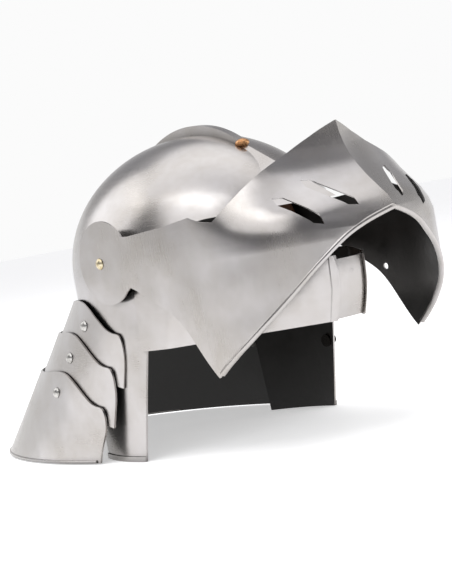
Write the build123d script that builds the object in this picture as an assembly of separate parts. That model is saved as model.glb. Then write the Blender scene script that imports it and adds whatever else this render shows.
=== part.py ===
from build123d import *
from math import asin, cos, degrees, radians, sin, sqrt, tan
import os

# A steel knight's helmet: skull with comb and brow peak, a pivoting visor, a fixed
# bevor, two neck plates and three articulated neck lames.
# Frame: the origin is the centre of the neck opening on the rim plane, +Z is up,
# the face looks along -Y, and +X is the wearer's left. Millimetres.

# Driving dimensions
sheet = 1.2                 # steel sheet
heavy_sheet = 1.6           # neck plates and lames
rim_z = 0.0

# skull
dome_half_width = 98.0
dome_half_length = 117.0
dome_rise = 93.5
dome_y = 5.0                # the dome's middle, just behind the pivots
equator_z = 140.0
skull_bottom_z = 84.0
face_top_z = 169.0          # lower edge of the skull above the face

# comb and brow peak
comb_width = 7.0
comb_back = (62.0, 219.0)   # y, z of the comb's ends and top
comb_top = (-8.0, 240.0)
comb_front = (-62.0, 220.5)
peak_back = (0.0, -59.0, 220.6)
peak_tip = (0.0, -150.0, 169.0)
peak_slope = 33.7           # droop of the peak's two faces, degrees

# visor
pivot_z = 150.0
visor_side_x = 104.4        # outer face of the pivot discs
visor_wall = 1.4            # measured level
disc_radius = 31.0
disc_y = -6.0
front_angle = 24.5          # the front panels turn back from the prow by this
front_run = 52.0
bend_radius = 82.0
side_angle = 87.5
arm_y = -45.0               # the flat arm ends and the curved panel starts
prow_foot = (157.9, 208.6)  # height and reach of the prow ridge's lower end
prow_head = (220.6, 162.6)  # and of its upper end
prow_curve = 1.9
slot_width = 8.0
slots = [((65.4, -156.7, 174.3), (48.9, -186.5, 153.4)),
         ((40.8, -160.8, 183.1), (21.5, -193.8, 161.7))]
hole_radius = 2.5
visor_hole = (-85.0, 107.5)

# visor pivots
pivot_shaft = 2.5
pivot_play = 0.06
pivot_head = 4.2
spacer_radius = 9.0
washer_radius = 7.0

# bevor
cheek_half_width = 98.6
cheek_front_x = 13.0
cheek_back = [(-20.0, 70.0), (-25.0, 128.0), (-58.0, 150.0)]    # y, z along its rear edge
cheek_reach = [(82.0, 149.0), (105.0, 157.0), (128.0, 158.0)]   # height, reach ahead of dome_y
keel_reach = [(81.0, 159.5), (105.0, 167.0), (129.0, 169.0)]    # height, reach of the keel
keel_half_angle = 39.6
chin_half_width = 27.0
chin_foot_z = 83.0
chin_top_z = 125.0
bevor_hole_z = 114.0

# neck plates
neck_plate_hem = 4.0
hem_proud = 1.0
neck_plate_front = [(-3.0, 0.0), (-25.0, 84.0)]   # y, z along the front and rear edges
neck_plate_rear = [(66.0, 84.0), (62.0, 0.0)]
stud_shaft = 1.6
stud_head = 3.2
stud_place = (-9.0, 54.0)

# neck lames
skirt_top_z = 125.0
skirt_top = (100.4, 119.8, 5.0)       # half width, half length, middle y of the inner lame
skirt_foot = (105.2, 192.0, 80.0)
lame_step_side = 2.4                  # each lame lies outside the one above it
lame_step_back = 4.2
lame_foot_z = 1.0
lame_rivet_places = [(42.0, 105.0), (66.0, 82.0), (89.0, 56.0)]   # y, z of each lame's hinge
lame_rivet_shaft = 2.0
lame_rivet_head = 4.4
lame_rivet_crown = 2.8                # how far a head stands off its lame
lame_rivet_tail = 3.4
lame_rivet_reach = [9.2, 5.3, 5.7]    # from the lame's face in to the end of the tail
lame_play = 0.06
fixed_play = 0.03
head_gap = 0.3

# leather liner
leather = 3.0
liner_gap = 0.5
strap_gap = 7.0
strap_leather = 2.0
strap_width = 26.0
band_bottom_z = 110.0
band_top_z = 137.0

far = 400.0


def side_prism(outline, x_from, x_to):
    """A closed outline drawn in the side view (y, z), pulled along x."""
    face = Plane.YZ.offset(x_from) * make_face(outline)
    return extrude(face, amount=x_to - x_from)


def slab(y_from, y_to, z_from, z_to, x_from=-far, x_to=far):
    """A plain block between two corners."""
    block = Box(x_to - x_from, y_to - y_from, z_to - z_from, align=(Align.MIN, Align.MIN, Align.MIN))
    return Pos(x_from, y_from, z_from) * block


def ellipse_at(half_width, half_length, y, z):
    """A level ellipse face."""
    return Pos(0, y, z) * Ellipse(half_width, half_length)


def dome(inset, bottom_z=skull_bottom_z):
    """The skull's form, filled: a half ellipsoid on an upright elliptical wall."""
    half_width = dome_half_width - inset
    rise = dome_rise - inset
    profile = make_face([
        Line((0, bottom_z), (half_width, bottom_z)),
        Line((half_width, bottom_z), (half_width, equator_z)),
        EllipticalCenterArc((0, equator_z), half_width, rise, start_angle=0, arc_size=90),
        Line((0, equator_z + rise), (0, bottom_z)),
    ])
    turned = Rot(0, 0, -90) * revolve(Plane.XZ * profile, Axis.Z, 360)
    stretch = (dome_half_length - inset) / half_width
    return Pos(0, dome_y, 0) * scale(turned, by=(1, stretch, 1))


def bore(y, z, radius):
    """A round bar across the whole helmet along x."""
    return Pos(0, y, z) * Rot(0, 90, 0) * Cylinder(radius, 2 * far)


def make_skull(dome_outer):
    """Dome and walls, open at the face and at the neck."""
    shell = dome_outer - dome(sheet, skull_bottom_z - 5)
    cheek_edge = Spline((-30, 118), (-42, 146), (-78, face_top_z), tangents=[(0, 1), (-1, 0.1)])
    face = [
        Line((-30, 0), (-30, 118)),
        cheek_edge,
        Polyline((-78, face_top_z), (-far, face_top_z), (-far, 0), (-30, 0)),
    ]
    shell -= side_prism(face, -far, far)
    shell -= bore(0, pivot_z, pivot_shaft)
    y, z = lame_rivet_places[0]
    return shell - bore(y, z, lame_rivet_shaft + fixed_play)


def make_comb(dome_outer, brow_plate):
    """A low crescent along the top of the skull, ending on the brow plate."""
    crescent = make_face([
        ThreePointArc(comb_back, comb_top, comb_front),
        Polyline(comb_front, (-62, 200), (62, 200), comb_back),
    ])
    bar = extrude(Plane.YZ.offset(-comb_width / 2) * crescent, amount=comb_width)
    return keep_largest(bar - dome_outer - brow_plate)


def peak_sheet(inset):
    """The filled wedge under the brow peak's two faces."""
    along = (Vector(*peak_tip) - Vector(*peak_back)).normalized()
    start = Plane(origin=peak_back, x_dir=(1, 0, 0), z_dir=along)
    up = start.y_dir.Z
    side = -1 if up > 0 else 1
    half = 60.0
    drop = half * tan(radians(peak_slope))
    ridge = side * inset / cos(radians(peak_slope))
    wedge = Polyline((0, ridge), (half, ridge + side * drop), (half, side * 90), (-half, side * 90),
                     (-half, ridge + side * drop), (0, ridge))
    length = (Vector(*peak_tip) - Vector(*peak_back)).length + 20
    return extrude(start * make_face(wedge), amount=length)


def make_brow_plate(dome_outer):
    """A folded peak over the brow, lying on the dome."""
    plate = peak_sheet(0) - peak_sheet(sheet)
    plate -= slab(-far, far, 0, face_top_z)
    plate -= slab(-far, far, 0, far, -far, -48)
    plate -= slab(-far, far, 0, far, 48, far)
    plate -= dome_outer
    return keep_largest(plate)


def keep_largest(shape):
    """Drop the crumbs that a cut leaves."""
    pieces = sorted(shape.solids(), key=lambda piece: piece.volume)
    return pieces[-1]


def make_comb_braze(dome_outer, comb, brow_plate):
    """The brass bead that joins the comb to the brow plate."""
    blob = Pos(0, -60.5, 219.2) * scale(Sphere(1), by=(5.2, 5.5, 3.4))
    return keep_largest(blob - dome_outer - comb - brow_plate)


def prow_reach(z):
    """How far the prow ridge stands ahead of the origin at one height."""
    span = prow_foot[1] - prow_head[1]
    total = 0.0
    for shift in (-10, -5, 0, 5, 10):
        up = (prow_head[0] - z - shift) / (prow_head[0] - prow_foot[0])
        total += prow_head[1] + span * min(max(up, 0.0), 1.0) ** prow_curve
    return total / 5


def visor_section(z, reach):
    """One level section through the left half of the visor, from prow to arm."""
    a = radians(front_angle)
    e = radians(side_angle)
    centre = (front_run - bend_radius * sin(a), -reach + front_run * tan(a) + bend_radius * cos(a))

    def on_bend(angle, radius):
        return (centre[0] + radius * sin(angle), centre[1] - radius * cos(angle))

    inner = bend_radius - visor_wall
    middle = (a + e) / 2
    inner_ridge = (0, -reach + visor_wall / cos(a))
    edges = [
        Line((0, -reach), on_bend(a, bend_radius)),
        ThreePointArc(on_bend(a, bend_radius), on_bend(middle, bend_radius), on_bend(e, bend_radius)),
        Line(on_bend(e, bend_radius), (visor_side_x, arm_y)),
        Line((visor_side_x, arm_y), (visor_side_x - visor_wall, arm_y)),
        Line((visor_side_x - visor_wall, arm_y), on_bend(e, inner)),
        ThreePointArc(on_bend(e, inner), on_bend(middle, inner), on_bend(a, inner)),
        Line(on_bend(a, inner), inner_ridge),
        Line(inner_ridge, (0, -reach)),
    ]
    return Pos(0, 0, z) * make_face(edges)


def visor_outline():
    """The visor's outline in the side view, disc and arm included."""
    top_notch = (disc_y - sqrt(disc_radius ** 2 - 17 ** 2), pivot_z + 17)
    low_notch = (disc_y - sqrt(disc_radius ** 2 - 23 ** 2), pivot_z - 23)
    top_of_prow = (-162.6, 220.6)
    foot_of_prow = (-208.6, 157.9)
    corner = (-110, 60)
    return [
        ThreePointArc(low_notch, (disc_y + disc_radius, pivot_z), top_notch),
        Polyline(top_notch, (-38, 166.5), (-79, 169), (-104, 172)),
        Spline((-104, 172), (-113, 168.5), (-125.5, 166)),
        Spline((-125.5, 166), (-138.8, 183.4), (-147.5, 200), top_of_prow),
        Polyline(top_of_prow, (-235, 236), (-235, 152), foot_of_prow),
        Spline(foot_of_prow, (-195, 147), (-182, 128), (-166, 106), (-142, 84), corner),
        Spline(corner, (-92, 85), (-77, 104), (-62, 114), (-47, 123), (-32, 130)),
        Line((-32, 130), low_notch),
    ]


def slot_cutter(first, last):
    """A long pointed hexagon through the front panel."""
    start = Vector(*first)
    end = Vector(*last)
    a = radians(front_angle)
    level = Vector(cos(a), sin(a), 0)
    run = end - start
    half = run.length / 2
    point = slot_width * 0.75
    hexagon = Polyline((-half, 0), (point - half, slot_width / 2), (half - point, slot_width / 2),
                       (half, 0), (half - point, -slot_width / 2), (point - half, -slot_width / 2),
                       (-half, 0))
    plane = Plane(origin=(start + end) * 0.5, x_dir=run, z_dir=level.cross(run))
    return extrude(plane * make_face(hexagon), amount=14, both=True)


def make_visor_left():
    """Pivot disc, arm, side panel and front panel in one sheet."""
    levels = [44.0 + 8.0 * step for step in range(25)]
    panel = loft([visor_section(z, prow_reach(z)) for z in levels], ruled=True)
    arm = slab(arm_y, disc_y + disc_radius + 2, 100, 200, visor_side_x - visor_wall, visor_side_x)
    half = panel + arm
    half = half & side_prism(visor_outline(), -1, 120)
    for first, last in slots:
        half -= slot_cutter(first, last)
    return half - bore(0, pivot_z, pivot_shaft + pivot_play)


def one_sided_bore(y, z, radius, x_from, x_to):
    """A round bar along x between two places."""
    bar = Cylinder(radius, x_to - x_from, align=(Align.CENTER, Align.CENTER, Align.MIN))
    return Pos(x_from, y, z) * Rot(0, 90, 0) * bar


def both_sides(solid):
    """The solid and its mirror image across the helmet's middle."""
    return Compound([solid, mirror(solid, about=Plane.YZ)])


def make_pivot_rivet():
    """A domed rivet through the disc, spacer, skull and inner washer."""
    outer_x = visor_side_x + head_gap
    shaft = one_sided_bore(0, pivot_z, pivot_shaft, dome_half_width - 6.5, outer_x + 0.5)
    rise = 2.6
    ball_radius = sqrt(pivot_head ** 2 + rise ** 2)
    cap_angle = degrees(asin(rise / ball_radius))
    cap = Sphere(ball_radius, cap_angle, align=(Align.CENTER, Align.CENTER, Align.MIN))
    return shaft + Pos(outer_x, 0, pivot_z) * Rot(0, 90, 0) * cap


def make_pivot_spacer(dome_outer):
    """A turned spacer that holds the disc off the skull."""
    ring = one_sided_bore(0, pivot_z, spacer_radius, 90, visor_side_x - visor_wall - 0.15)
    return ring - dome_outer - bore(0, pivot_z, pivot_shaft)


def make_pivot_washer(skull_inner):
    """The washer under the rivet's tail inside the skull."""
    ring = one_sided_bore(0, pivot_z, washer_radius, dome_half_width - 6.5, 99)
    return keep_largest((ring & skull_inner) - bore(0, pivot_z, pivot_shaft))


def bevor_form(inset):
    """The bevor, filled: a rounded form cut back to a keel by two flat faces."""
    inner = [ellipse_at(cheek_half_width - inset, reach - inset, dome_y, z) for z, reach in cheek_reach]
    back = 220.0
    spread = back * tan(radians(keel_half_angle))
    wedges = []
    for z, keel in keel_reach:
        y = -keel + inset / sin(radians(keel_half_angle))
        outline = Polyline((0, y), (spread, y + back), (-spread, y + back), (0, y))
        wedges.append(Pos(0, 0, z) * make_face(outline))
    return loft(inner) & loft(wedges, ruled=True)


def make_cheek_plate():
    """The bevor's left cheek plate, with a turned front edge over the chin plate."""
    wall = bevor_form(0) - bevor_form(sheet)
    outline = Polyline(*cheek_back, (-300, 150), (-300, 70), cheek_back[0])
    wall = wall & side_prism(outline, cheek_front_x, 120)
    rib_form = bevor_form(-1.0) - bevor_form(0)
    rib = rib_form & slab(-300, -60, 70, 140, cheek_front_x, cheek_front_x + 4)
    return keep_largest(wall + rib)


def make_chin_plate():
    """The keeled plate tucked under the two cheek plates."""
    wall = bevor_form(sheet) - bevor_form(2 * sheet)
    plate = wall & slab(-300, -60, chin_foot_z, chin_top_z, -chin_half_width, chin_half_width)
    drill = Pos(0, -keel_reach[1][1], bevor_hole_z) * Rot(90, 0, 0) * Cylinder(hole_radius, 30)
    return keep_largest(plate) - drill


def make_neck_plate():
    """The left neck plate below the skull's wall, with a hem at its foot."""
    outer = ellipse_at(dome_half_width, dome_half_length, dome_y, rim_z)
    inner = ellipse_at(dome_half_width - heavy_sheet, dome_half_length - heavy_sheet, dome_y, rim_z)
    hem = ellipse_at(dome_half_width + hem_proud, dome_half_length + hem_proud, dome_y, rim_z)
    wall = extrude(outer, amount=skull_bottom_z) - extrude(inner, amount=skull_bottom_z)
    wall += extrude(hem, amount=neck_plate_hem) - extrude(inner, amount=neck_plate_hem)
    outline = Polyline(*neck_plate_front, *neck_plate_rear, neck_plate_front[0])
    return wall & side_prism(outline, 20, 120)


def make_stud():
    """The strap stud on the left neck plate."""
    y, z = stud_place
    post = one_sided_bore(y, z, stud_shaft, dome_half_width - 4.5, dome_half_width + 3.5)
    head = one_sided_bore(y, z, stud_head, dome_half_width + 3.0, dome_half_width + 4.6)
    return post + head


def make_stud_washer():
    """The washer under the stud, inside the plate."""
    y, z = stud_place
    disc = one_sided_bore(y, z, 5.0, dome_half_width - 4.5, dome_half_width)
    floor = ellipse_at(dome_half_width - heavy_sheet, dome_half_length - heavy_sheet, dome_y, rim_z)
    return (disc & extrude(floor, amount=skull_bottom_z)) - one_sided_bore(y, z, stud_shaft, 80, 110)


def skirt_sizes(index, inset, z):
    """Half width, half length and middle y of one lame's outer face at a height."""
    down = (skirt_top_z - z) / skirt_top_z
    half_width, half_length, y = [top + (foot - top) * down for top, foot in zip(skirt_top, skirt_foot)]
    return half_width + index * lame_step_side - inset, half_length + index * lame_step_back - inset, y


def skirt(index, inset):
    """The filled flaring form of one neck lame, from below the rim to above its top edge."""
    return loft([ellipse_at(*skirt_sizes(index, inset, z), z) for z in (-10, skirt_top_z + 10)], ruled=True)


def lame_outline(index):
    """One lame in the side view: rounded front corner, wave along the top."""
    front_y = [-3.0, 11.0, 26.0][index]
    front_z = [97.0, 73.0, 44.0][index]
    crest_z = [124.0, 101.0, 72.0][index]
    foot_front = [56.0, 27.0, lame_foot_z][index]
    foot_back = [84.0, 54.0, lame_foot_z][index]
    foot_y = [6.0, 22.0, 42.0][index]
    wave = Spline((front_y + 6, front_z), (front_y + 22, front_z + 9), (front_y + 46, crest_z - 2),
                  (front_y + 75, crest_z), (320, crest_z),
                  tangents=[(1, 0.15), (1, 0)])
    return [
        Spline((foot_y, foot_front), (front_y + 1, front_z - 10), (front_y + 6, front_z),
               tangents=[(-0.35, 1), (1, 0.15)]),
        wave,
        Polyline((320, crest_z), (320, foot_back), (front_y + 90, foot_back), (foot_y, foot_front)),
    ]


def make_lame(index):
    """One neck lame, cut from its skirt, with its hinge holes."""
    wall = skirt(index, 0) - skirt(index, heavy_sheet if index else sheet)
    lame = wall & side_prism(lame_outline(index), -far, far)
    y, z = lame_rivet_places[index]
    lame -= bore(y, z, lame_rivet_shaft + lame_play)
    if index < 2:
        y, z = lame_rivet_places[index + 1]
        lame -= bore(y, z, lame_rivet_shaft)
    return keep_largest(lame)


def make_lame_rivet(index, inner_form):
    """A left rivet: domed head outside its lame, shank, and clenched tail inside."""
    y, z = lame_rivet_places[index]
    half_width, half_length, middle_y = skirt_sizes(index, 0, z)
    face_x = half_width * sqrt(1 - ((y - middle_y) / half_length) ** 2)
    end_x = face_x - lame_rivet_reach[index]
    ball = scale(Sphere(1), by=(lame_rivet_crown + 0.6, lame_rivet_head, lame_rivet_head))
    head = Pos(face_x - 0.6, y, z) * ball - skirt(index, -head_gap)
    shank = one_sided_bore(y, z, lame_rivet_shaft, end_x, face_x + lame_rivet_crown / 2)
    tail = one_sided_bore(y, z, lame_rivet_tail, end_x, face_x) & inner_form
    return keep_largest(head + shank + tail)


def make_liner_band():
    """A leather band round the inside of the skull's wall, open at the face."""
    half_width = dome_half_width - sheet - liner_gap
    half_length = dome_half_length - sheet - liner_gap
    ring = ellipse_at(half_width, half_length, dome_y, band_bottom_z)
    ring -= ellipse_at(half_width - leather, half_length - leather, dome_y, band_bottom_z)
    band = extrude(ring, amount=band_top_z - band_bottom_z)
    return band - slab(-far, -20, 0, far)


def make_liner_strap(gap, y_from, y_to, x_half):
    """A leather strap over the crown, hung below the dome."""
    arch = dome(sheet + gap) - dome(sheet + gap + strap_leather, skull_bottom_z - 5)
    return arch & slab(y_from, y_to, band_top_z + 0.5, far, -x_half, x_half)


def build():
    """All nodes by name."""
    dome_outer = dome(0)
    skull_inner = dome(sheet)
    nodes = {}
    nodes["skull"] = make_skull(dome_outer)
    nodes["brow_plate"] = make_brow_plate(dome_outer)
    nodes["comb"] = make_comb(dome_outer, nodes["brow_plate"])
    nodes["comb_braze"] = make_comb_braze(dome_outer, nodes["comb"], nodes["brow_plate"])

    visor_left = make_visor_left()
    nodes["visor_right_half"] = mirror(visor_left, about=Plane.YZ)
    y, z = visor_hole
    nodes["visor_left_half"] = visor_left - one_sided_bore(y, z, hole_radius, 90, 120)
    nodes["visor_pivot_rivets"] = both_sides(make_pivot_rivet())
    nodes["visor_pivot_spacers"] = both_sides(make_pivot_spacer(dome_outer))
    nodes["visor_pivot_washers"] = both_sides(make_pivot_washer(skull_inner))

    cheek = make_cheek_plate()
    nodes["bevor_left_plate"] = cheek
    nodes["bevor_right_plate"] = mirror(cheek, about=Plane.YZ)
    nodes["bevor_chin_plate"] = make_chin_plate()

    plate = make_neck_plate()
    stud = make_stud()
    nodes["neck_right_plate"] = mirror(plate, about=Plane.YZ)
    nodes["neck_left_plate"] = plate - stud
    nodes["strap_stud"] = stud
    nodes["strap_stud_washer"] = make_stud_washer()

    lame_names = ["upper", "middle", "lower"]
    inner_forms = [skull_inner, skirt(0, sheet), skirt(1, heavy_sheet)]
    for index, name in enumerate(lame_names):
        nodes[f"neck_lame_{name}"] = make_lame(index)
        nodes[f"{name}_lame_rivets"] = both_sides(make_lame_rivet(index, inner_forms[index]))

    nodes["liner_band"] = make_liner_band()
    half = strap_width / 2
    nodes["liner_cross_strap"] = make_liner_strap(strap_gap, dome_y - half, dome_y + half, far)
    lower_gap = strap_gap + strap_leather + 0.2
    long_strap = make_liner_strap(lower_gap, -far, far, half)
    nodes["liner_long_strap"] = long_strap - slab(-far, -60, 0, 190)
    return nodes


os.makedirs("parts", exist_ok=True)
for node_name, shape in build().items():
    export_step(shape, f"parts/{node_name}.step")
    print(node_name, len(shape.solids()), round(shape.volume, 1))
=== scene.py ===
import math

import bmesh
import bpy
from mathutils import Matrix, Vector


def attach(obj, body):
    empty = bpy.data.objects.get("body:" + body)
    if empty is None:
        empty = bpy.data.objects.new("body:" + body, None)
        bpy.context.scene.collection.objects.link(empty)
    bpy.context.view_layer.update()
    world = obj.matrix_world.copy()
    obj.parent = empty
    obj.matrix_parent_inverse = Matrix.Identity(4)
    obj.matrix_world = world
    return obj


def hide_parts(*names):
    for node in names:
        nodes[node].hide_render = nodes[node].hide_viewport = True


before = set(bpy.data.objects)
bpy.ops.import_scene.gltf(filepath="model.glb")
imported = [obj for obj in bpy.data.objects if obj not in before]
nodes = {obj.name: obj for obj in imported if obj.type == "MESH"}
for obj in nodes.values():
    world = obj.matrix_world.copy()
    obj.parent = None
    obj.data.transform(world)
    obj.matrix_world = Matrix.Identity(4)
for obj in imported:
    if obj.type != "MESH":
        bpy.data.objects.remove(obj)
scene = bpy.context.scene
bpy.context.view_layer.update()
print("frame loaded:", len(nodes), "nodes")


def hexColour(value):
    # sRGB hex to the linear colour that the shaders take
    parts = [int(value[i:i + 2], 16) / 255 for i in (1, 3, 5)]
    linear = [p / 12.92 if p <= 0.04045 else ((p + 0.055) / 1.055) ** 2.4 for p in parts]
    return (*linear, 1.0)


def perMetre(millimetres):
    return 1000.0 / millimetres


def addNode(tree, kind, inputs=None, **settings):
    node = tree.nodes.new(kind)
    for name, value in settings.items():
        setattr(node, name, value)
    for socket, value in (inputs or {}).items():
        if isinstance(value, bpy.types.NodeSocket):
            tree.links.new(value, node.inputs[socket])
        else:
            node.inputs[socket].default_value = value
    return node


def newMaterial(name):
    material = bpy.data.materials.new(name)
    material.use_nodes = True
    tree = material.node_tree
    tree.nodes.clear()
    place = addNode(tree, "ShaderNodeTexCoord").outputs["Object"]
    return material, tree, place


def finishMaterial(tree, inputs):
    shader = addNode(tree, "ShaderNodeBsdfPrincipled", inputs)
    addNode(tree, "ShaderNodeOutputMaterial", {"Surface": shader.outputs[0]})


def blendColours(tree, amount, first, second):
    ramp = addNode(tree, "ShaderNodeValToRGB", {"Fac": amount})
    ramp.color_ramp.elements[0].color = hexColour(first)
    ramp.color_ramp.elements[1].color = hexColour(second)
    return ramp.outputs["Color"]


def spread(tree, value, low, high):
    # a noise sits mostly between 0.3 and 0.7
    return addNode(tree, "ShaderNodeMapRange", {
        "Value": value, "From Min": 0.3, "From Max": 0.7, "To Min": low, "To Max": high,
    }).outputs["Result"]


steel = {
    "light": "#bfbcbc", "dark": "#aca7a2", "creviceShade": "#3a3735", "creviceMm": 11.0,
    "hammerMm": 58.0, "hammerDepth": 0.0030, "hammerStrength": 0.5,
    "strokeLengthMm": 45.0, "strokeWidthMm": 1.2, "strokeDepth": 0.0001, "strokeStrength": 0.015,
    "strokeRoughness": (-0.012, 0.02),
    "smudgeMm": 60.0, "glossy": 0.21, "dull": 0.28, "anisotropy": 0.25,
}


def makePolishedSteel(name, brushUp):
    # mild steel sheet, hammered to shape and belt polished: soft wide glints, slightly wavy,
    # with the strokes of the belt; the strokes are drawn coarser than grit to show
    material, tree, place = newMaterial(name)
    hammer = addNode(tree, "ShaderNodeTexNoise", {
        "Vector": place, "Scale": perMetre(steel["hammerMm"]), "Detail": 1.0, "Roughness": 0.4})
    length = perMetre(steel["strokeLengthMm"])
    width = perMetre(steel["strokeWidthMm"])
    along = (width, width, length) if brushUp else (length, length, width)
    stroked = addNode(tree, "ShaderNodeMapping", {"Vector": place, "Scale": along})
    strokes = addNode(tree, "ShaderNodeTexNoise", {
        "Vector": stroked.outputs[0], "Scale": 1.0, "Detail": 3.0, "Roughness": 0.6})
    smudge = addNode(tree, "ShaderNodeTexNoise", {
        "Vector": place, "Scale": perMetre(steel["smudgeMm"]), "Detail": 4.0, "Roughness": 0.62})
    rough = spread(tree, smudge.outputs["Fac"], steel["glossy"], steel["dull"])
    strokeRough = spread(tree, strokes.outputs["Fac"], *steel["strokeRoughness"])
    roughness = addNode(tree, "ShaderNodeMath", {0: rough, 1: strokeRough}, operation="ADD")
    wavy = addNode(tree, "ShaderNodeBump", {
        "Strength": steel["hammerStrength"], "Distance": steel["hammerDepth"],
        "Height": hammer.outputs["Fac"]})
    brushed = addNode(tree, "ShaderNodeBump", {
        "Strength": steel["strokeStrength"], "Distance": steel["strokeDepth"],
        "Height": strokes.outputs["Fac"], "Normal": wavy.outputs[0]})
    tone = spread(tree, smudge.outputs["Fac"], 0.0, 1.0)
    colour = blendColours(tree, tone, steel["light"], steel["dark"])
    # painted shade: where ambient occlusion finds other parts within the crevice distance, the base
    # colour is darkened towards the crevice colour, standing in for the contact shadow in the gaps
    # between plates
    openness = addNode(tree, "ShaderNodeAmbientOcclusion", {"Distance": steel["creviceMm"] / 1000})
    shaded = addNode(tree, "ShaderNodeMapRange", {
        "Value": openness.outputs["AO"], "From Min": 0.3, "From Max": 0.85,
        "To Min": 0.75, "To Max": 0.0})
    paintedCreviceShade = addNode(tree, "ShaderNodeMix", {
        0: shaded.outputs["Result"], 6: colour, 7: hexColour(steel["creviceShade"])}, data_type="RGBA")
    finishMaterial(tree, {
        "Base Color": paintedCreviceShade.outputs[2], "Metallic": 1.0, "Roughness": roughness.outputs[0],
        "Anisotropic": steel["anisotropy"], "Normal": brushed.outputs[0]})
    return material


paint = {
    "deep": "#121110", "worn": "#252321", "peelMm": 4.0, "peelDepth": 0.0003, "patchMm": 28.0,
    "glossy": 0.3, "dull": 0.48,
}


def makeBlackPaint():
    # brushed-on black enamel inside the sheets: semi-gloss, a little uneven
    material, tree, place = newMaterial("brushedBlackEnamel")
    orangePeel = addNode(tree, "ShaderNodeTexNoise", {
        "Vector": place, "Scale": perMetre(paint["peelMm"]), "Detail": 3.0, "Roughness": 0.55})
    patches = addNode(tree, "ShaderNodeTexNoise", {
        "Vector": place, "Scale": perMetre(paint["patchMm"]), "Detail": 4.0, "Roughness": 0.6})
    bumps = addNode(tree, "ShaderNodeBump", {
        "Strength": 0.35, "Distance": paint["peelDepth"], "Height": orangePeel.outputs["Fac"]})
    finishMaterial(tree, {
        "Base Color": blendColours(tree, patches.outputs["Fac"], paint["deep"], paint["worn"]),
        "Roughness": spread(tree, patches.outputs["Fac"], paint["glossy"], paint["dull"]),
        "Specular IOR Level": 0.5, "Normal": bumps.outputs[0]})
    return material


def makeSmallMetal(name, light, dark, glossy, dull, grainMm, depth):
    material, tree, place = newMaterial(name)
    grain = addNode(tree, "ShaderNodeTexNoise", {
        "Vector": place, "Scale": perMetre(grainMm), "Detail": 4.0, "Roughness": 0.6})
    bumps = addNode(tree, "ShaderNodeBump", {
        "Strength": 0.4, "Distance": depth, "Height": grain.outputs["Fac"]})
    finishMaterial(tree, {
        "Base Color": blendColours(tree, spread(tree, grain.outputs["Fac"], 0.0, 1.0), light, dark),
        "Metallic": 1.0, "Roughness": spread(tree, grain.outputs["Fac"], glossy, dull),
        "Normal": bumps.outputs[0]})
    return material


hide = {
    "brown": "#5a371f", "polished": "#3a2213", "grainMm": 1.6, "grainDepth": 0.0002, "toneMm": 18.0,
    "glossy": 0.45, "dull": 0.65,
}


def makeLeather():
    # vegetable-tanned cowhide, oiled: fine pebbled grain, dark where hands and hair polish it
    material, tree, place = newMaterial("oiledCowhide")
    grain = addNode(tree, "ShaderNodeTexVoronoi", {
        "Vector": place, "Scale": perMetre(hide["grainMm"])}, feature="DISTANCE_TO_EDGE")
    tone = addNode(tree, "ShaderNodeTexNoise", {
        "Vector": place, "Scale": perMetre(hide["toneMm"]), "Detail": 5.0, "Roughness": 0.6})
    pebbles = addNode(tree, "ShaderNodeBump", {
        "Strength": 0.5, "Distance": hide["grainDepth"], "Height": grain.outputs["Distance"]})
    worn = spread(tree, tone.outputs["Fac"], 0.0, 1.0)
    finishMaterial(tree, {
        "Base Color": blendColours(tree, worn, hide["brown"], hide["polished"]),
        "Roughness": spread(tree, tone.outputs["Fac"], hide["glossy"], hide["dull"]),
        "Normal": pebbles.outputs[0]})
    return material


linen = {"shaded": "#b8a684", "light": "#d8c9a8", "twistMm": 0.8, "roughness": 0.6}


def makeThread():
    material, tree, place = newMaterial("waxedLinenThread")
    twist = addNode(tree, "ShaderNodeTexNoise", {
        "Vector": place, "Scale": perMetre(linen["twistMm"]), "Detail": 2.0})
    finishMaterial(tree, {
        "Base Color": blendColours(tree, twist.outputs["Fac"], linen["shaded"], linen["light"]),
        "Roughness": linen["roughness"]})
    return material


skullSteel = makePolishedSteel("beltPolishedMildSteel", False)
visorSteel = makePolishedSteel("crossPolishedMildSteel", True)
blackPaint = makeBlackPaint()
smallMetals = {
    "rivet_steel": {"name": "tumbledRivetSteel", "light": "#c9c7c4", "dark": "#a19f9b",
                    "glossy": 0.2, "dull": 0.38, "grainMm": 2.5, "depth": 0.0001},
    "nickel_brass": {"name": "wornNickelPlatedBrass", "light": "#d8cfb6", "dark": "#b4a27a",
                     "glossy": 0.2, "dull": 0.4, "grainMm": 2.0, "depth": 0.0001},
    "braze_brass": {"name": "torchBrazedBrass", "light": "#dcae7e", "dark": "#a86f45",
                    "glossy": 0.3, "dull": 0.5, "grainMm": 2.2, "depth": 0.0005},
    "dark_iron": {"name": "oilBlackenedIron", "light": "#3b3835", "dark": "#23211f",
                  "glossy": 0.4, "dull": 0.6, "grainMm": 1.5, "depth": 0.0002},
}
looks = {slotName: makeSmallMetal(**metal) for slotName, metal in smallMetals.items()}
looks["liner_leather"] = makeLeather()
thread = makeThread()
print("materials made")


sheetMetal = {"weld": 0.00002, "thinnest": 0.00001, "creaseDegrees": 34.0, "insideBelow": -0.3}


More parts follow.
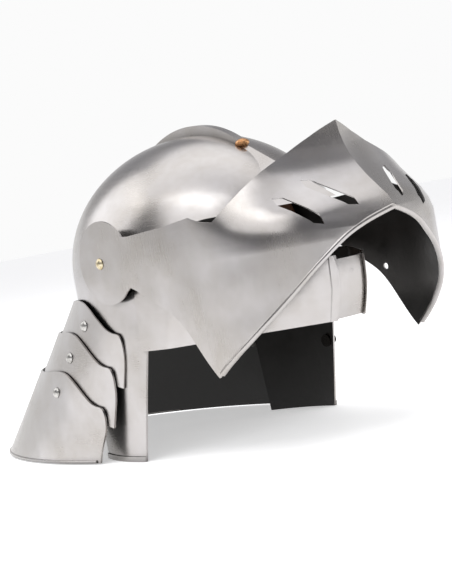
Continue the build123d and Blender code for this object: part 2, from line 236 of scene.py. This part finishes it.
def mergedCopy(nodeName, pieceName, body, outside, inside, middle):
    # faces that look back at the middle of their shell take the inside's material
    mesh = nodes[nodeName].data.copy()
    mesh.name = pieceName
    if "custom_normal" in mesh.attributes:
        mesh.attributes.remove(mesh.attributes["custom_normal"])
    work = bmesh.new()
    work.from_mesh(mesh)
    bmesh.ops.remove_doubles(work, verts=work.verts, dist=sheetMetal["weld"])
    bmesh.ops.dissolve_degenerate(work, edges=work.edges, dist=sheetMetal["thinnest"])
    mesh.materials.clear()
    mesh.materials.append(outside)
    mesh.materials.append(inside)
    centre = Vector(middle)
    crease = math.radians(sheetMetal["creaseDegrees"])
    for face in work.faces:
        face.smooth = True
        outward = (face.calc_center_median() - centre).normalized()
        face.material_index = 1 if face.normal.dot(outward) < sheetMetal["insideBelow"] else 0
    for edge in work.edges:
        edge.smooth = len(edge.link_faces) == 2 and edge.calc_face_angle(0) < crease
    work.to_mesh(mesh)
    work.free()
    piece = bpy.data.objects.new(pieceName, mesh)
    scene.collection.objects.link(piece)
    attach(piece, body)
    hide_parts(nodeName)
    return piece


visorMiddle = (0, -0.08, 0.14)
plates = {
    "skull": ("skullShell", "helmet", skullSteel, (0, 0.005, 0.13)),
    "comb": ("combCrescent", "helmet", skullSteel, (0, 0.0, 0.1)),
    "brow_plate": ("browPeak", "helmet", visorSteel, (0, -0.09, 0.1)),
    "visor_right_half": ("visorRight", "visor", visorSteel, visorMiddle),
    "visor_left_half": ("visorLeft", "visor", visorSteel, visorMiddle),
    "bevor_left_plate": ("bevorLeft", "helmet", skullSteel, (0, 0.005, 0.105)),
    "bevor_right_plate": ("bevorRight", "helmet", skullSteel, (0, 0.005, 0.105)),
    "bevor_chin_plate": ("bevorChin", "helmet", skullSteel, (0, -0.05, 0.105)),
    "neck_right_plate": ("neckPlateRight", "helmet", skullSteel, (0, 0.005, 0.04)),
    "neck_left_plate": ("neckPlateLeft", "helmet", skullSteel, (0, 0.005, 0.04)),
    "neck_lame_upper": ("lameUpper", "lame_upper", skullSteel, (0, 0.03, 0.08)),
    "neck_lame_middle": ("lameMiddle", "lame_middle", skullSteel, (0, 0.04, 0.06)),
    "neck_lame_lower": ("lameLower", "lame_lower", skullSteel, (0, 0.05, 0.03)),
}
built = {}
for nodeName, (pieceName, body, outside, middle) in plates.items():
    built[nodeName] = mergedCopy(
        nodeName, pieceName, body, outside, blackPaint, middle)

smallParts = {
    "comb_braze": ("combBraze", "helmet", "braze_brass"),
    "visor_pivot_rivets": ("visorPivotRivets", "helmet", "nickel_brass"),
    "visor_pivot_spacers": ("visorPivotSpacers", "helmet", "rivet_steel"),
    "visor_pivot_washers": ("visorPivotWashers", "helmet", "rivet_steel"),
    "strap_stud": ("strapStud", "helmet", "dark_iron"),
    "strap_stud_washer": ("strapStudWasher", "helmet", "dark_iron"),
    "upper_lame_rivets": ("upperLameRivets", "helmet", "rivet_steel"),
    "middle_lame_rivets": ("middleLameRivets", "lame_upper", "rivet_steel"),
    "lower_lame_rivets": ("lowerLameRivets", "lame_middle", "rivet_steel"),
    "liner_band": ("linerBand", "helmet", "liner_leather"),
    "liner_cross_strap": ("linerCrossStrap", "helmet", "liner_leather"),
    "liner_long_strap": ("linerLongStrap", "helmet", "liner_leather"),
}
for nodeName, (pieceName, body, slotName) in smallParts.items():
    look = looks[slotName]
    mergedCopy(nodeName, pieceName, body, look, look, (0, 0, 0))
print("plates and small parts made")


def newTree(name, sizes):
    tree = bpy.data.node_groups.new(name, "GeometryNodeTree")
    tree.interface.new_socket("Path", in_out="INPUT", socket_type="NodeSocketGeometry")
    sockets = {}
    for label in sizes:
        made = tree.interface.new_socket(label, in_out="INPUT", socket_type="NodeSocketFloat")
        sockets[label] = made.identifier
    tree.interface.new_socket("Piece", in_out="OUTPUT", socket_type="NodeSocketGeometry")
    return tree, sockets, addNode(tree, "NodeGroupInput")


def closeTree(tree, shape, material):
    smooth = addNode(tree, "GeometryNodeSetShadeSmooth", {"Geometry": shape})
    real = addNode(tree, "GeometryNodeRealizeInstances", {"Geometry": smooth.outputs[0]})
    painted = addNode(tree, "GeometryNodeSetMaterial", {
        "Geometry": real.outputs[0], "Material": material})
    addNode(tree, "NodeGroupOutput", {"Piece": painted.outputs[0]})


rolledHem = {"ringPoints": 14}
saddleStitch = {"beadSubdivisions": 2, "beadScale": (0.8, 0.8, 3.2)}


def hemTree(material):
    tree, sockets, entry = newTree("rolledHem", ["Hem radius", "Step"])
    even = addNode(tree, "GeometryNodeResampleCurve", {
        "Curve": entry.outputs["Path"], "Length": entry.outputs["Step"]}, mode="LENGTH")
    ring = addNode(tree, "GeometryNodeCurvePrimitiveCircle", {
        "Resolution": rolledHem["ringPoints"], "Radius": entry.outputs["Hem radius"]})
    swept = addNode(tree, "GeometryNodeCurveToMesh", {
        "Curve": even.outputs[0], "Profile Curve": ring.outputs[0], "Fill Caps": True})
    closeTree(tree, swept.outputs[0], material)
    return tree, sockets


def stitchTree(material):
    tree, sockets, entry = newTree("saddleStitch", ["Spacing", "Thread radius"])
    spots = addNode(tree, "GeometryNodeCurveToPoints", {
        "Curve": entry.outputs["Path"], "Length": entry.outputs["Spacing"]}, mode="LENGTH")
    bead = addNode(tree, "GeometryNodeMeshIcoSphere", {
        "Radius": entry.outputs["Thread radius"], "Subdivisions": saddleStitch["beadSubdivisions"]})
    laid = addNode(tree, "GeometryNodeInstanceOnPoints", {
        "Points": spots.outputs["Points"], "Instance": bead.outputs[0],
        "Rotation": spots.outputs["Rotation"], "Scale": saddleStitch["beadScale"]})
    closeTree(tree, laid.outputs[0], material)
    return tree, sockets


def followPath(pieceName, points, treeAndSockets, sizes, body):
    tree, sockets = treeAndSockets
    curve = bpy.data.curves.new(pieceName + "Path", "CURVE")
    curve.dimensions = "3D"
    line = curve.splines.new("POLY")
    line.points.add(len(points) - 1)
    for spot, point in zip(line.points, points):
        spot.co = (*point, 1.0)
    carrier = bpy.data.objects.new(pieceName + "Path", curve)
    scene.collection.objects.link(carrier)
    modifier = carrier.modifiers.new("follow", "NODES")
    modifier.node_group = tree
    for label, value in sizes.items():
        modifier[sockets[label]] = value
    bpy.context.view_layer.update()
    evaluated = carrier.evaluated_get(bpy.context.evaluated_depsgraph_get())
    mesh = bpy.data.meshes.new_from_object(evaluated)
    mesh.name = pieceName
    piece = bpy.data.objects.new(pieceName, mesh)
    scene.collection.objects.link(piece)
    bpy.data.objects.remove(carrier)
    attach(piece, body)
    return piece


visorHem = {"radius": 0.0021, "step": 0.002, "backEnd": -0.1095, "above": 0.007,
            "facing": 0.3, "cornerGap": 0.004, "softenRounds": 3, "prowGap": 0.0005}
# x and height of the hem on one half, to tell it from the slots' edges
hemGuide = [(0.0, 0.158), (0.018, 0.154), (0.032, 0.147), (0.045, 0.138), (0.058, 0.128),
            (0.069, 0.117), (0.079, 0.106), (0.087, 0.096), (0.093, 0.084), (0.099, 0.072),
            (0.104, 0.058)]


def guideHeight(x):
    for (x0, z0), (x1, z1) in zip(hemGuide, hemGuide[1:]):
        if x <= x1:
            return z0 + (z1 - z0) * (x - x0) / (x1 - x0)
    return hemGuide[-1][1]


def visorEdgePoints():
    # corners of the lower front edge, from the prow to the side corner, on the left half
    work = bmesh.new()
    work.from_mesh(built["visor_left_half"].data)
    centre = Vector(visorMiddle)
    found = {}
    for edge in work.edges:
        if edge.smooth or len(edge.link_faces) != 2:
            continue
        facing = [face.normal.dot((face.calc_center_median() - centre).normalized())
                  for face in edge.link_faces]
        if max(facing) < visorHem["facing"]:
            continue
        for corner in edge.verts:
            x, y, z = corner.co
            if y < visorHem["backEnd"] and abs(z - guideHeight(x)) < visorHem["above"]:
                found[round(x, 5)] = tuple(corner.co)
    work.free()
    return [found[x] for x in sorted(found)]


def evenPoints(points, gap):
    # keeps both ends and drops corners closer than the gap
    kept = [points[0]]
    for point in points[1:-1]:
        if (point - kept[-1]).length >= gap and (point - points[-1]).length >= gap:
            kept.append(point)
    return kept + [points[-1]]


def soften(points, rounds):
    for _ in range(rounds):
        points = [points[0]] + [
            (a + b * 2 + c) / 4 for a, b, c in zip(points, points[1:], points[2:])] + [points[-1]]
    return points


cornersLeft = evenPoints([Vector(p) for p in visorEdgePoints()], visorHem["cornerGap"])
leftSide = soften(cornersLeft, visorHem["softenRounds"])
print("visor edge points:", len(leftSide))
rightSide = [Vector((-p.x, p.y, p.z)) for p in reversed(leftSide) if p.x > visorHem["prowGap"]]
wholeEdge = rightSide + leftSide
hems = hemTree(skullSteel)
followPath("visorRolledHem", wholeEdge, hems,
           {"Hem radius": visorHem["radius"], "Step": visorHem["step"]}, "visor")

lameHem = {"halfWidth": 0.10985, "halfLength": 0.1984, "middleY": 0.0782, "height": 0.0024,
           "frontY": 0.0455, "radius": 0.0012, "step": 0.004, "spans": 120}
linerSeams = {"halfWidth": 0.0933, "halfLength": 0.1123, "middleY": 0.005, "heights": (0.1135, 0.1335),
              "frontY": -0.017, "spacing": 0.005, "radius": 0.0005, "spans": 160}


def ovalPoints(oval, height):
    # round the back of an ellipse, from its front end on one side to that on the other
    first = math.asin((oval["frontY"] - oval["middleY"]) / oval["halfLength"])
    points = []
    for i in range(oval["spans"] + 1):
        angle = first + (math.pi - 2 * first) * i / oval["spans"]
        points.append((oval["halfWidth"] * math.cos(angle),
                       oval["middleY"] + oval["halfLength"] * math.sin(angle), height))
    return points


followPath("lameFootHem", ovalPoints(lameHem, lameHem["height"]), hems,
           {"Hem radius": lameHem["radius"], "Step": lameHem["step"]}, "lame_lower")
stitches = stitchTree(thread)
for letter, height in zip("AB", linerSeams["heights"]):
    followPath("linerStitches" + letter, ovalPoints(linerSeams, height), stitches,
               {"Spacing": linerSeams["spacing"], "Thread radius": linerSeams["radius"]},
               "helmet")
print("hems and stitches made")


studio = {
    "floor": "#ffffff", "floorSize": 30.0, "floorGlow": 0.5, "floorRoughness": 0.9,
    "skyEnds": ((0.16, "#fbfbfb"), (0.95, "#e8e8ea")),
    "skyMiddle": ((0.3, "#b4b4b6"), (0.55, "#929296")),
    "brightSide": (0.63, 0.776, 0.0), "roomScale": 1.5, "roomDark": "#727277", "roomLight": "#ffffff",
}


def makeFloor():
    mesh = bpy.data.meshes.new("studioFloor")
    half = studio["floorSize"] / 2
    corners = [(-half, -half, 0), (half, -half, 0), (half, half, 0), (-half, half, 0)]
    mesh.from_pydata(corners, [], [(0, 1, 2, 3)])
    floor = bpy.data.objects.new("studioFloor", mesh)
    scene.collection.objects.link(floor)
    material, tree, place = newMaterial("paintedStudioFloor")
    # a lit white sweep, so that its far edge fades into the backdrop
    finishMaterial(tree, {
        "Base Color": hexColour(studio["floor"]), "Roughness": studio["floorRoughness"],
        "Emission Color": hexColour(studio["floor"]), "Emission Strength": studio["floorGlow"]})
    mesh.materials.append(material)


def makeWorld():
    world = bpy.data.worlds.new("softStudio")
    scene.world = world
    world.use_nodes = True
    tree = world.node_tree
    tree.nodes.clear()
    place = addNode(tree, "ShaderNodeTexCoord").outputs["Generated"]
    parts = addNode(tree, "ShaderNodeSeparateXYZ", {"Vector": place})
    ramp = addNode(tree, "ShaderNodeValToRGB", {"Fac": parts.outputs["Z"]})
    stops = ramp.color_ramp.elements
    for index, (position, value) in enumerate(studio["skyEnds"]):
        stops[index].position = position
        stops[index].color = hexColour(value)
    for position, value in studio["skyMiddle"]:
        stops.new(position).color = hexColour(value)
    # darker furniture of a room on the side that the near plates mirror
    facing = addNode(tree, "ShaderNodeVectorMath", {
        0: place, 1: studio["brightSide"]}, operation="DOT_PRODUCT")
    behind = addNode(tree, "ShaderNodeMapRange", {
        "Value": facing.outputs["Value"], "From Min": 0.35, "From Max": -0.25,
        "To Min": 0.0, "To Max": 1.0})
    room = addNode(tree, "ShaderNodeTexNoise", {
        "Vector": place, "Scale": studio["roomScale"], "Detail": 1.0})
    clutter = spread(tree, room.outputs["Fac"], 0.0, 1.0)
    shade = blendColours(tree, clutter, studio["roomDark"], studio["roomLight"])
    lit = addNode(tree, "ShaderNodeMix", {
        0: behind.outputs["Result"], 6: ramp.outputs["Color"], 7: shade},
        data_type="RGBA", blend_type="MULTIPLY")
    sky = addNode(tree, "ShaderNodeBackground", {"Color": lit.outputs[2], "Strength": 1.0})
    addNode(tree, "ShaderNodeOutputWorld", {"Surface": sky.outputs[0]})


lampAim = (0, 0, 0.12)
lamps = {
    "keySoftbox": {"place": (-1.5, -0.7, 1.9), "size": (2.2, 1.8), "watts": 16.0},
    "fillSoftbox": {"place": (1.2, -1.7, 1.2), "size": (1.6, 1.8), "watts": 9.0},
    "overheadSoftbox": {"place": (0.0, 0.2, 2.6), "size": (3.4, 3.4), "watts": 34.0},
    "rearSoftbox": {"place": (-0.9, 1.7, 1.5), "size": (2.0, 1.4), "watts": 13.0},
}


def makeLamps():
    aim = Vector(lampAim)
    for name, lamp in lamps.items():
        data = bpy.data.lights.new(name, "AREA")
        data.shape = "RECTANGLE"
        data.size, data.size_y = lamp["size"]
        data.energy = lamp["watts"]
        holder = bpy.data.objects.new(name, data)
        scene.collection.objects.link(holder)
        holder.location = lamp["place"]
        holder.rotation_euler = (aim - Vector(lamp["place"])).to_track_quat("-Z", "Y").to_euler()


view = {
    "place": (-0.79906, -0.99459, 0.1762),
    "right": (0.75786, -0.62714, -0.17983),
    "up": (0.17202, -0.07381, 0.98233),
    "forward": (0.62933, 0.7754, -0.05194),
    "lens": 101.7, "sensor": 36.0, "nearest": 0.01,
}


def makeCamera():
    data = bpy.data.cameras.new("tableCamera")
    data.lens = view["lens"]
    data.sensor_width = view["sensor"]
    data.sensor_fit = "AUTO"
    data.clip_start = view["nearest"]
    camera = bpy.data.objects.new("tableCamera", data)
    scene.collection.objects.link(camera)
    backward = -Vector(view["forward"])
    turn = Matrix((view["right"], view["up"], backward)).transposed()
    camera.matrix_world = Matrix.Translation(view["place"]) @ turn.to_4x4()
    scene.camera = camera


makeFloor()
makeWorld()
makeLamps()
makeCamera()
scene.view_settings.view_transform = "Standard"
print("stage set")
